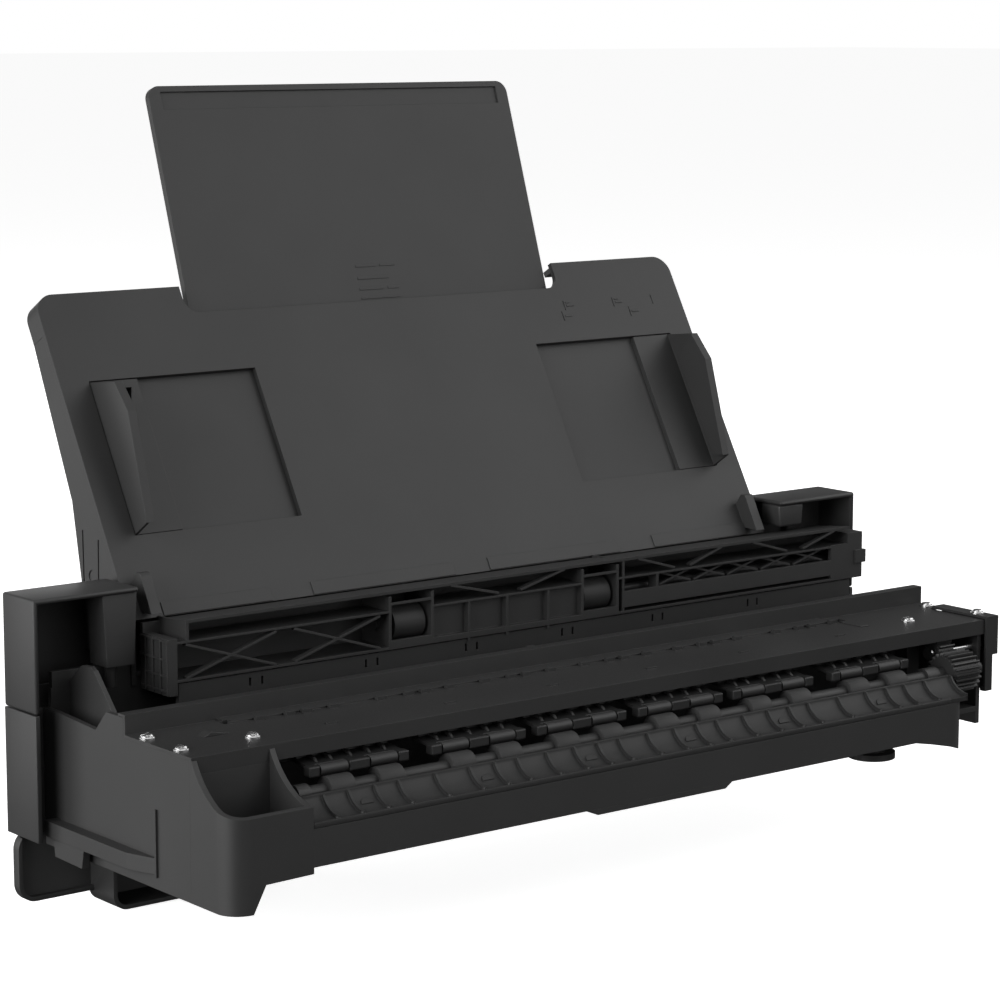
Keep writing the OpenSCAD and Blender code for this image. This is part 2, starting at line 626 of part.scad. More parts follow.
// Toothed bar along X whose teeth face the pinion; side is +1 above it, -1 below.
module rack(side) {
    pitch = PI * pinion_module;
    translate([0, 11.4, pinion_s]) rotate([90, 0, 0]) linear_extrude(3.2)
        mirror([side > 0 ? 0 : 1, 0]) mirror([0, side > 0 ? 0 : 1]) {
            translate([-151, rack_pitch_r + 1.3]) square([157, 4.7]);
            for (i = [2 - rack_teeth:1]) translate([i * pitch, 0])
                polygon([[-0.8, 9.4], [-0.65, 8], [-0.3, 7.2], [0.3, 7.2], [0.65, 8], [0.8, 9.4]]);
        }
}
module rack_left() at_datum() color([0.14, 0.14, 0.15]) on_tray() rack(1);
module rack_right() at_datum() color([0.14, 0.14, 0.15]) on_tray() rack(-1);

module pinion() at_datum() color([0.2, 0.2, 0.21]) on_tray()
    translate([0, 11.4, pinion_s]) rotate([90, 0, 0]) linear_extrude(3.2) difference() {
        gear_2d(pinion_teeth, pinion_module, 180 / pinion_teeth);
        circle(2 + run_gap);
    }

// ---------- feed ----------
module bush(x) at_datum() color([0.3, 0.3, 0.31]) difference() {
    rod(x, feed_at, bush_r);
    rod([x[0] - 1, x[1] + 1], feed_at, shaft_r + run_gap);
}
module bush_left() bush([-182, -176]);
module bush_right() bush([176, 184]);

module feed_shaft() at_datum() color([0.35, 0.35, 0.36]) rod([-185.8, 214], feed_at, shaft_r);

module drive_gear() at_datum() color([0.10, 0.10, 0.11])
    translate([189.5, feed_at[0], feed_at[1]]) rotate([0, 90, 0]) linear_extrude(17) difference() {
        gear_2d(drive_teeth, gear_module, mesh_angle);
        circle(shaft_r);
    }
module idler_gear() at_datum() color([0.12, 0.12, 0.13])
    translate([196, idler_at[0], idler_at[1]]) rotate([0, 90, 0]) linear_extrude(10) difference() {
        gear_2d(idler_teeth, gear_module, mesh_angle + 180 + 180 / idler_teeth);
        circle(1.5 + run_gap);
    }

module idler_pin() at_datum() color([0.75, 0.75, 0.76]) {
    rod([194, 229], idler_at, 1.5);
    rod([193, 194], idler_at, 3);
}

module feed_rollers(i) at_datum() color([0.2, 0.2, 0.21]) for (s = [-1, 1]) {
    x = groups[i - 1] + s * roller_off;
    difference() {
        rod([x - roller_w / 2, x + roller_w / 2], feed_at, feed_r);
        rod([x - roller_w, x + roller_w], feed_at, shaft_r);
    }
}

module pinch_holder(i) at_datum() color([0.11, 0.11, 0.12]) translate([groups[i - 1], 0, 0])
    difference() {
        union() {
            for (x = [[-25, -19.4], [-5.4, 5.4], [19.4, 25]]) box(x, [-92.4, -86.8], [88.6, 93.6]);
            side_plate([-25, 25], [[-86.9, 91.4], [-86.9, 93.6], [-51, 98.4], [-51, 96.8]]);
            for (x = [-18, 16.4, -0.8]) side_plate([x, x + 1.6],
                [[-86.9, 93], [-84, 95.6], [-54, 99.6], [-51, 98]]);
            for (x = [-18, 14.4]) side_plate([x, x + 3.6], [[-52, 97], [-52, 98.2], [-48, 102.2],
                [-45.6, 101.6], [-44.8, 100], [-45.6, 98.2], [-47, 97.4]]);
            rod([-21.6, 21.6], pivot_at, pivot_r);
        }
        rod([-26, 26], pinch_at, axle_r + run_gap);
    }

module pinch_rollers(i) at_datum() color([0.22, 0.22, 0.23]) translate([groups[i - 1], 0, 0]) {
    rod([-24.6, 24.6], pinch_at, axle_r);
    for (x = [[-19.1, -5.7], [5.7, 19.1]]) rod(x, pinch_at, pinch_r);
}

// Wire springs that press the holders down.
module pinch_springs() at_datum() color([0.7, 0.7, 0.72]) for (g = groups) translate([g, 0, 0]) {
    translate([-9, pivot_at[0], pivot_at[1]]) rotate([0, 90, 0]) difference() {
        cylinder(h = 4, r = 2.5);
        translate([0, 0, -1]) cylinder(h = 6, r = 1.8);
    }
    box([-9, -8.3], [-49.4, -48.8], [100, plate_low]);
    box([-5.7, -5], [-66, -48.6], [101, 101.7]);
}

// ---------- show ----------
base_chassis();
exit_guide();
front_pocket();
top_plate();
plate_screws();
gear_bracket();
latch_plate();
foot_disc();
side_rail();
side_clip();
cover_left_upper();
cover_left_lower();
cover_right_upper();
cover_right_lower();
locating_post_left();
locating_post_right();
rear_trough();
pickup_frame();
pick_shaft();
pick_roller_left();
pick_roller_right();
pick_gear();
separation_pads();
paper_flag();
input_tray();
tray_pads();
tray_shell();
tray_extension();
guide_left();
guide_right();
rack_left();
rack_right();
pinion();
bush_left();
bush_right();
feed_shaft();
drive_gear();
idler_gear();
idler_pin();
pinch_springs();
for (i = [1:6]) feed_rollers(i);
for (i = [1:6]) pinch_holder(i);
for (i = [1:6]) pinch_rollers(i);
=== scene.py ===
"""Looks of an automatic sheet feeder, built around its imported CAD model.

Sizes are in millimetres from the feeder's design datum, which lies on the centre plane of the
sheets. LEVEL and place() bring them into the part's own frame in metres.
"""

from __future__ import annotations

import json
import logging
import math
from dataclasses import dataclass
from enum import Enum
from typing import Iterable, Sequence

import bpy
from mathutils import Matrix, Vector


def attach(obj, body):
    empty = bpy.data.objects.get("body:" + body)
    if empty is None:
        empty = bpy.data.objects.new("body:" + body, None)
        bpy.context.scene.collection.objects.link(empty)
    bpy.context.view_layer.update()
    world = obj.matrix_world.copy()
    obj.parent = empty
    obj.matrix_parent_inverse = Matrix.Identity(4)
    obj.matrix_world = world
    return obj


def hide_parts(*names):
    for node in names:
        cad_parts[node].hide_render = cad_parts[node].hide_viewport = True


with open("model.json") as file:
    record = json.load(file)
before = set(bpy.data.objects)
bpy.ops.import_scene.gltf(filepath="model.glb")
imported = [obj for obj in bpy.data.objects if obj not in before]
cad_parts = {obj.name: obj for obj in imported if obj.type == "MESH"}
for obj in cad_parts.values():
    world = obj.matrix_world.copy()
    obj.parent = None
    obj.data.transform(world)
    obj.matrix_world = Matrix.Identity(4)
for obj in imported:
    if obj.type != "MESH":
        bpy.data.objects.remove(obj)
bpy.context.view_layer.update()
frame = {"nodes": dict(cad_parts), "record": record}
LOG = logging.getLogger("feeder")
Point = Sequence[float]

# where the part's origin lies, in datum millimetres
DATUM = Vector((0.0, 13.42, 12.0))
# metres in a millimetre
MM = 0.001
# centres of the six roller groups across the feeder
GROUPS = (-148.5, -87.0, -31.0, 25.5, 81.3, 143.0)
# foot (depth, height) and lean of the two sloped panels
TRAY_FOOT = (13.34, 116.07)
TRAY_TILT = math.radians(29.82)
EXTENSION_FOOT = (102.75, 266.7)
EXTENSION_TILT = math.radians(18.2)
# height of the metal plate's upper face
PLATE_TOP = 104.0
# axes across the feeder (depth, height): holder pivots and feed shaft
PIVOT = (-47.0, 100.0)
FEED = (-93.0, 83.3)


class Slot(str, Enum):
    """Material slots of the record."""

    PLASTIC = "black_plastic"
    SHEET = "black_sheet"
    STEEL = "bright_steel"
    WIRE = "spring_wire"
    GRIP = "grip_rubber"
    SHAFT = "shaft_steel"
    GEAR = "gear_plastic"
    ROLLER = "roller_plastic"


class Body(str, Enum):
    """Bodies of the frame that new pieces ride on."""

    CHASSIS = "chassis"
    FEED = "feed_group"
    EXTENSION = "extension"


LEVEL = Matrix.Translation(-DATUM * MM) @ Matrix.Scale(MM, 4)


def place(point: Point) -> Vector:
    """Return a datum point in the part's frame, in metres."""
    return (Vector(point) - DATUM) * MM


def tilted(foot: Point, tilt: float) -> Matrix:
    """Return the frame of a sloped panel.

    Args:
        foot: depth and height of the panel's zero, in datum millimetres.
        tilt: lean back from upright, in radians.

    Returns:
        A matrix from panel millimetres (across, into, up the slope) to part metres.
    """
    return LEVEL @ Matrix.Translation((0.0, *foot)) @ Matrix.Rotation(-tilt, 4, "X")


ON_TRAY = tilted(TRAY_FOOT, TRAY_TILT)
ON_EXTENSION = tilted(EXTENSION_FOOT, EXTENSION_TILT)


# ---------------------------------------------------------------- finishes
# noise values between which the colour and the roughness run
NOISE_LOW, NOISE_HIGH = 0.3, 0.7


def spread(tree: bpy.types.NodeTree, noise: bpy.types.Node, low: float, high: float
           ) -> bpy.types.NodeSocket:
    """Map a noise onto a range of values.

    Args:
        tree: the material's node tree.
        noise: the noise node.
        low: value where the noise is weak.
        high: value where the noise is strong.

    Returns:
        The socket that gives the value.
    """
    node = tree.nodes.new("ShaderNodeMapRange")
    for label, value in (("From Min", NOISE_LOW), ("From Max", NOISE_HIGH), ("To Min", low),
                         ("To Max", high)):
        node.inputs[label].default_value = value
    tree.links.new(noise.outputs["Fac"], node.inputs["Value"])
    return node.outputs["Result"]


@dataclass(frozen=True)
class Finish:
    """A procedural finish: fine surface grain, slow colour drift and softened edges."""

    name: str
    slot: Slot
    shade: float
    roughness: float
    grain: float = 2600.0
    grain_depth: float = 0.00002
    drift: float = 0.10
    metallic: float = 0.0
    specular: float = 0.5
    edge: float = 0.0003
    brushed: Vector | None = None
    drift_scale: float = 17.0
    drift_detail: float = 3.0
    grain_detail: float = 2.0
    grain_strength: float = 0.5
    smoother: float = 0.03
    rougher: float = 0.04
    edge_samples: int = 4

    def material(self) -> bpy.types.Material:
        """Make the material of this finish the first time it is asked for.

        Returns:
            The material, the same one each time.
        """
        label = f"{self.name}_finish"
        made = bpy.data.materials.get(label)
        if made:
            return made
        made = bpy.data.materials.new(label)
        made.use_nodes = True
        tree = made.node_tree
        nodes, links = tree.nodes, tree.links
        shader = nodes["Principled BSDF"]
        shader.inputs["Metallic"].default_value = self.metallic
        shader.inputs["Specular IOR Level"].default_value = self.specular
        where = nodes.new("ShaderNodeTexCoord")
        stretch = nodes.new("ShaderNodeMapping")
        stretch.inputs["Scale"].default_value = self.brushed or (1.0, 1.0, 1.0)
        links.new(where.outputs["Object"], stretch.inputs["Vector"])

        slow = nodes.new("ShaderNodeTexNoise")
        slow.inputs["Scale"].default_value = self.drift_scale
        slow.inputs["Detail"].default_value = self.drift_detail
        links.new(where.outputs["Object"], slow.inputs["Vector"])
        fine = nodes.new("ShaderNodeTexNoise")
        fine.inputs["Scale"].default_value = self.grain
        fine.inputs["Detail"].default_value = self.grain_detail
        links.new(stretch.outputs["Vector"], fine.inputs["Vector"])

        low, high = self.shade * (1 - self.drift), self.shade * (1 + self.drift)
        links.new(spread(tree, slow, low, high), shader.inputs["Base Color"])
        low, high = self.roughness - self.smoother, self.roughness + self.rougher
        links.new(spread(tree, fine, low, high), shader.inputs["Roughness"])

        bump = nodes.new("ShaderNodeBump")
        bump.inputs["Strength"].default_value = self.grain_strength
        bump.inputs["Distance"].default_value = self.grain_depth
        links.new(fine.outputs["Fac"], bump.inputs["Height"])
        if self.edge:
            soften = nodes.new("ShaderNodeBevel")
            soften.samples = self.edge_samples
            soften.inputs["Radius"].default_value = self.edge
            links.new(soften.outputs["Normal"], bump.inputs["Normal"])
        links.new(bump.outputs["Normal"], shader.inputs["Normal"])
        return made

    def dress(self, piece: bpy.types.Object) -> None:
        """Give a piece this finish alone."""
        piece.data.materials.clear()
        piece.data.materials.append(self.material())


MOULDED = Finish("moulded_black", Slot.PLASTIC, 0.030, 0.50)
HOLDER_BLACK = Finish("holder_black", Slot.PLASTIC, 0.017, 0.42)
# painted shade: the exit guide's black is set darker than the other mouldings to stand in for the
# shade that falls on it under the feed rollers
EXIT_BLACK_PAINTED_SHADE = Finish("exit_black_painted_shade", Slot.PLASTIC, 0.016, 0.55)
TRAY_SKIN = Finish("tray_black", Slot.PLASTIC, 0.030, 0.50, grain=3000.0)
COATED_SHEET = Finish("coated_sheet", Slot.SHEET, 0.028, 0.40, grain=1400.0, grain_depth=0.00001)
BRIGHT_STEEL = Finish("bright_screw", Slot.STEEL, 0.78, 0.22, grain=900.0, grain_depth=0.000005,
                      drift=0.04, metallic=1.0, edge=0.00015)
SPRING_WIRE = Finish("spring_wire", Slot.WIRE, 0.16, 0.35, metallic=1.0, edge=0.0)
GRIP_RUBBER = Finish("grip_rubber", Slot.GRIP, 0.024, 0.60, grain=4200.0, grain_depth=0.00003)
SHAFT_STEEL = Finish("shaft_steel", Slot.SHAFT, 0.030, 0.46, grain=700.0, metallic=0.1,
                     grain_depth=0.000006, brushed=Vector((0.04, 1.0, 1.0)), edge=0.0001)
GEAR_PLASTIC = Finish("gear_plastic", Slot.GEAR, 0.026, 0.45, grain_depth=0.000006, edge=0.00012)
ROLLER_PLASTIC = Finish("roller_plastic", Slot.ROLLER, 0.026, 0.46, grain_depth=0.000006,
                        edge=0.00015)

FINISH_OF_SLOT = {f.slot.value: f for f in (MOULDED, COATED_SHEET, BRIGHT_STEEL, SPRING_WIRE,
                                           GRIP_RUBBER, SHAFT_STEEL, GEAR_PLASTIC, ROLLER_PLASTIC)}
# nodes that wear the tray's finish in place of their slot's
TRAY_NODES = ("input_tray", "tray_pads", "tray_extension", "guide_left", "guide_right",
              "tray_shell")


# ---------------------------------------------------------------- modelling by operators
# faces across each rounded edge
EDGE_FACES = 2
# millimetres within which the vertices of a turned piece are merged
SEAM = 0.0005


def clear_selection() -> None:
    """Deselect every object and leave edit mode."""
    if bpy.context.object and bpy.context.object.mode != "OBJECT":
        bpy.ops.object.mode_set(mode="OBJECT")
    bpy.ops.object.select_all(action="DESELECT")


def only(piece: bpy.types.Object) -> None:
    """Make a piece the one selected and active object.

    Args:
        piece: the object.
    """
    clear_selection()
    piece.select_set(True)
    bpy.context.view_layer.objects.active = piece


def settle(piece: bpy.types.Object, name: str, where: Matrix) -> bpy.types.Object:
    """Name a piece drawn in millimetres and put its place into its mesh.

    Args:
        piece: the object, drawn in a panel's or the datum's millimetres.
        name: the piece's final name.
        where: the matrix from those millimetres to the part's frame.

    Returns:
        The same object, with its origin at the part's origin.
    """
    only(piece)
    bpy.ops.object.transform_apply(location=True, rotation=True, scale=True)
    piece.data.transform(where)
    piece.name = piece.data.name = name
    return piece


def line_of_vertices(points: Sequence[Point]) -> bpy.types.Object:
    """Extrude one vertex along a row of points.

    Args:
        points: the places in order.

    Returns:
        The new object, in edit mode, with its last vertex selected.
    """
    clear_selection()
    bpy.ops.mesh.primitive_plane_add(size=1.0, location=points[0])
    bpy.ops.object.mode_set(mode="EDIT")
    bpy.ops.mesh.merge(type="CENTER")
    for start, end in zip(points, points[1:]):
        step = Vector(end) - Vector(start)
        bpy.ops.mesh.extrude_region_move(TRANSFORM_OT_translate={"value": step})
    return bpy.context.object


def plate(points: Sequence[Point], thick: Point, bevel: float) -> bpy.types.Object:
    """Return a solid made from a flat outline.

    Args:
        points: the outline's corners in order.
        thick: the way the outline is extruded.
        bevel: width of the rounded edges, or zero.

    Returns:
        The new object, in object mode.
    """
    piece = line_of_vertices(points)
    bpy.ops.mesh.select_all(action="SELECT")
    bpy.ops.mesh.edge_face_add()
    bpy.ops.mesh.extrude_region_move(TRANSFORM_OT_translate={"value": Vector(thick)})
    bpy.ops.mesh.select_all(action="SELECT")
    bpy.ops.mesh.normals_make_consistent(inside=False)
    if bevel:
        bpy.ops.mesh.bevel(offset=bevel, segments=EDGE_FACES, affect="EDGES")
    bpy.ops.object.mode_set(mode="OBJECT")
    return piece


def block(low: Point, high: Point, bevel: float) -> bpy.types.Object:
    """Return a box.

    Args:
        low: the corner with the smallest coordinates.
        high: the corner with the largest coordinates.
        bevel: width of the rounded edges, or zero.

    Returns:
        The new object, in object mode.
    """
    (x0, y0, z0), (x1, y1, z1) = low, high
    outline = ((x0, y0, z0), (x1, y0, z0), (x1, y1, z0), (x0, y1, z0))
    return plate(outline, (0.0, 0.0, z1 - z0), bevel)


def turned(profile: Sequence[Point], centre: Point, axis: Point, steps: int = 32
           ) -> bpy.types.Object:
    """Return a solid of revolution.

    Args:
        profile: points from one end of the axis to the other.
        centre: a point on the axis.
        axis: its direction.
        steps: faces around it.

    Returns:
        The new object, in object mode, smooth and closed.
    """
    piece = line_of_vertices(profile)
    bpy.ops.mesh.select_all(action="SELECT")
    bpy.ops.mesh.spin(steps=steps, angle=2 * math.pi, center=centre, axis=axis)
    bpy.ops.mesh.select_all(action="SELECT")
    bpy.ops.mesh.remove_doubles(threshold=SEAM)
    bpy.ops.mesh.normals_make_consistent(inside=False)
    bpy.ops.object.mode_set(mode="OBJECT")
    smooth(piece)
    return piece


def smooth(piece: bpy.types.Object, degrees: float = 32.0) -> None:
    """Shade a piece smooth across edges flatter than the angle."""
    only(piece)
    bpy.ops.object.shade_smooth_by_angle(angle=math.radians(degrees))


def joined(pieces: Iterable[bpy.types.Object]) -> bpy.types.Object:
    """Join several objects into the first.

    Args:
        pieces: the objects.

    Returns:
        The first object, now holding all the meshes.
    """
    pieces = list(pieces)
    only(pieces[0])
    for piece in pieces[1:]:
        piece.select_set(True)
    bpy.ops.object.join()
    return bpy.context.object


def own_copy(piece: bpy.types.Object) -> bpy.types.Object:
    """Copy an object together with its mesh.

    Args:
        piece: the object.

    Returns:
        The copy, linked to the scene.
    """
    copy = piece.copy()
    copy.data = piece.data.copy()
    bpy.context.scene.collection.objects.link(copy)
    return copy


def twin(piece: bpy.types.Object, name: str, shift: Point) -> bpy.types.Object:
    """Copy a settled piece to another place.

    Args:
        piece: the object.
        name: the copy's name.
        shift: how far the copy moves, in millimetres.

    Returns:
        The copy, with its own mesh.
    """
    copy = own_copy(piece)
    copy.data.transform(Matrix.Translation(Vector(shift) * MM))
    copy.name = copy.data.name = name
    return copy


def finish_piece(piece: bpy.types.Object, finish: Finish, body: str,
                 replaces: Sequence[str] = ()) -> None:
    """Dress a piece and hang it on its body.

    Args:
        piece: the finished object.
        finish: what it is made of.
        body: the body it rides on.
        replaces: the CAD nodes it stands for.
    """
    finish.dress(piece)
    if replaces:
        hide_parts(*replaces)
    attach(piece, body)
    LOG.info("%s on %s, %d faces", piece.name, body, len(piece.data.polygons))


# ---------------------------------------------------------------- sub-assemblies
@dataclass
class PlateScrews:
    """Six bright screws on the metal plate and the gear bracket."""

    places: tuple = ((-221.0, -46.3, 104.0), (-221.0, -71.6, 104.0), (-186.5, -70.6, 104.0),
                     (194.2, -65.4, 104.0), (229.0, -44.3, 104.0), (230.0, -77.0, 105.4))
    washer_r: float = 3.3
    head_r: float = 2.6
    head_h: float = 1.9
    cross_half: tuple = (1.45, 0.28)
    cross_from: float = 0.9

    def build(self) -> None:
        """Turn one screw head, cut its cross recess and copy it."""
        rim, top = self.washer_r, self.head_h
        head = turned(((0, 0, -0.2), (rim, 0, -0.2), (rim, 0, 0.45), (rim - 0.3, 0, 0.7),
                       (self.head_r, 0, 0.75), (self.head_r, 0, 1.1), (self.head_r - 0.5, 0, 1.65),
                       (1.2, 0, top), (0, 0, top)), (0, 0, 0), (0, 0, 1))
        long, wide = self.cross_half
        cutters = [block((-long, -wide, self.cross_from), (long, wide, 3.0), 0.0)
                   for _ in range(2)]
        cutters[1].rotation_euler.z = math.pi / 2
        for cutter in cutters:
            only(head)
            cut = head.modifiers.new("cross", "BOOLEAN")
            cut.operation, cut.object, cut.solver = "DIFFERENCE", cutter, "EXACT"
            bpy.ops.object.modifier_apply(modifier=cut.name)
            bpy.data.objects.remove(cutter)
        heads = []
        for number, spot in enumerate(self.places):
            copy = own_copy(head)
            copy.data.transform(Matrix.Translation(spot) @ Matrix.Rotation(0.5 + number, 4, "Z"))
            heads.append(copy)
        bpy.data.objects.remove(head)
        row = settle(joined(heads), "screw_heads", LEVEL)
        smooth(row)
        finish_piece(row, BRIGHT_STEEL, Body.CHASSIS.value, ("plate_screws",))


@dataclass
class PinchSprings:
    """Torsion springs on the holder pivots, one to a holder."""

    wire_r: float = 0.35
    coil_r: float = 2.15
    turns: int = 5
    pitch: float = 0.8
    steps: int = 20
    start: float = -9.0
    # depth and height where each leg begins and ends
    long_leg: tuple = (-47.0, 102.1, -64.0, 101.3)
    short_leg: tuple = (-49.1, 100.0, -49.1, 102.6)

    def build(self) -> None:
        """Wind one spring with the screw modifier, add its two legs and copy it."""
        clear_selection()
        bpy.ops.mesh.primitive_circle_add(vertices=8, radius=self.wire_r,
                                          location=(self.coil_r, 0, 0), rotation=(math.pi / 2, 0, 0))
        coil = bpy.context.object
        bpy.ops.object.transform_apply(location=True, rotation=True, scale=True)
        wind = coil.modifiers.new("wind", "SCREW")
        wind.angle, wind.screw_offset = 2 * math.pi, self.pitch
        wind.iterations, wind.steps, wind.render_steps = self.turns, self.steps, self.steps
        wind.use_merge_vertices = True
        bpy.ops.object.modifier_apply(modifier=wind.name)
        coil.data.transform(Matrix.Rotation(math.pi / 2, 4, "Y"))
        coil.data.transform(Matrix.Translation((self.start, *PIVOT)))
        last = self.start + self.turns * self.pitch
        legs = [turned(((x, y0, z0), (x + self.wire_r, y0, z0), (x + self.wire_r, y1, z1),
                        (x, y1, z1)), (x, y0, z0), (0, y1 - y0, z1 - z0), 10)
                for x, y0, z0, y1, z1 in ((self.start, *self.long_leg), (last, *self.short_leg))]
        spring = settle(joined([coil, *legs]), "spring_1", LEVEL)
        only(spring)
        bpy.ops.object.mode_set(mode="EDIT")
        bpy.ops.mesh.select_all(action="SELECT")
        bpy.ops.mesh.normals_make_consistent(inside=False)
        bpy.ops.object.mode_set(mode="OBJECT")
        smooth(spring)
        springs = [twin(spring, f"spring_{n}", (x, 0, 0)) for n, x in enumerate(GROUPS, 1)]
        bpy.data.objects.remove(spring)
        row = joined(springs)
        row.name = row.data.name = "pinch_spring_row"
        finish_piece(row, SPRING_WIRE, Body.CHASSIS.value, ("pinch_springs",))


@dataclass
class FeedRollers:
    """Smooth rubber sleeves on the feed shaft."""

    radius: float = 5.75
    width: float = 12.0
    offset: float = 12.4
    corner: float = 0.35
    bore_r: float = 3.0
    faces: int = 48

    def build(self) -> None:
        """Turn one sleeve and place a pair in each group."""
        half, y, z = self.width / 2, *FEED
        r, c, bore = self.radius, self.corner, z + self.bore_r
        cut = c * 0.3
        outline = ((-half, y, bore), (-half, y, z + r - c), (-half + cut, y, z + r - cut),
                   (-half + c, y, z + r), (half - c, y, z + r), (half - cut, y, z + r - cut),
                   (half, y, z + r - c), (half, y, bore), (-half, y, bore))
        sleeve = settle(turned(outline, (0, y, z), (1, 0, 0), self.faces), "sleeve", LEVEL)
        for number, x in enumerate(GROUPS, 1):
            pair = joined([twin(sleeve, "sleeve_copy", (x + side * self.offset, 0, 0))
                           for side in (-1, 1)])
            pair.name = pair.data.name = f"feed_sleeves_{number}"
            finish_piece(pair, GRIP_RUBBER, Body.FEED.value, (f"feed_rollers_{number}",))
        bpy.data.objects.remove(sleeve)


@dataclass
class PinchHolders:
    """Sprung holders: roller clamps in front of a ribbed plate with two pivot hooks."""

    half_width: float = 23.8
    ribs: tuple = (-18.0, -10.6, -0.8, 8.4, 16.4)
    rib_w: float = 1.3
    cross_at: tuple = (-79.0, -67.5)
    clamps: tuple = ((-24.8, -19.8), (-5.0, 5.0), (19.8, 24.8))
    hooks: tuple = (-18.0, 14.4)
    hook_w: float = 3.6
    pin: tuple = (21.6, 1.3)
    # the sloped plate's front edge (depth, height) and its slope
    front: tuple = (-87.6, 93.2)
    rise: float = 5.0
    run: float = 36.6

    def plate_top(self, y: float) -> float:
        """Return the height of the sloped plate's upper face at a depth."""
        return self.front[1] + (y - self.front[0]) * self.rise / self.run

    def build(self) -> None:
        """Model one holder and copy it to the six groups."""
        w = self.half_width
        parts = [block((x0, -92.1, 88.9), (x1, -87.2, 93.3), 0.6)
                 for x0, x1 in self.clamps]
        parts.append(plate(((-w, -87.8, 91.6), (-w, -87.8, 93.2), (-w, -51.0, 98.2),
                            (-w, -51.0, 96.9)), (2 * w, 0, 0), 0.25))
        parts += [plate(((x, -87.0, 92.8), (x, -84.4, 95.2), (x, -54.0, 99.3), (x, -51.2, 97.9)),
                        (self.rib_w, 0, 0), 0.2) for x in self.ribs]
        for y in self.cross_at:
            low = self.plate_top(y)
            parts.append(block((-w + 1, y - 0.6, low - 0.5), (w - 1, y + 0.6, low + 0.9), 0.2))
        parts += [plate(((x, -52.0, 97.0), (x, -52.0, 98.2), (x, -48.0, 102.2), (x, -45.6, 101.6),
                         (x, -44.8, 100.0), (x, -45.6, 98.2), (x, -47.0, 97.4)),
                        (self.hook_w, 0, 0), 0.25) for x in self.hooks]
        (y, z), (half, r) = PIVOT, self.pin
        parts.append(turned(((-half, y, z), (-half, y, z + r), (half, y, z + r), (half, y, z)),
                            (0, y, z), (1, 0, 0), 20))
        holder = settle(joined(parts), "holder", LEVEL)
        for number, x in enumerate(GROUPS, 1):
            copy = twin(holder, f"holder_plate_{number}", (x, 0, 0))
            finish_piece(copy, HOLDER_BLACK, f"holder_{number}", (f"pinch_holder_{number}",))
        bpy.data.objects.remove(holder)


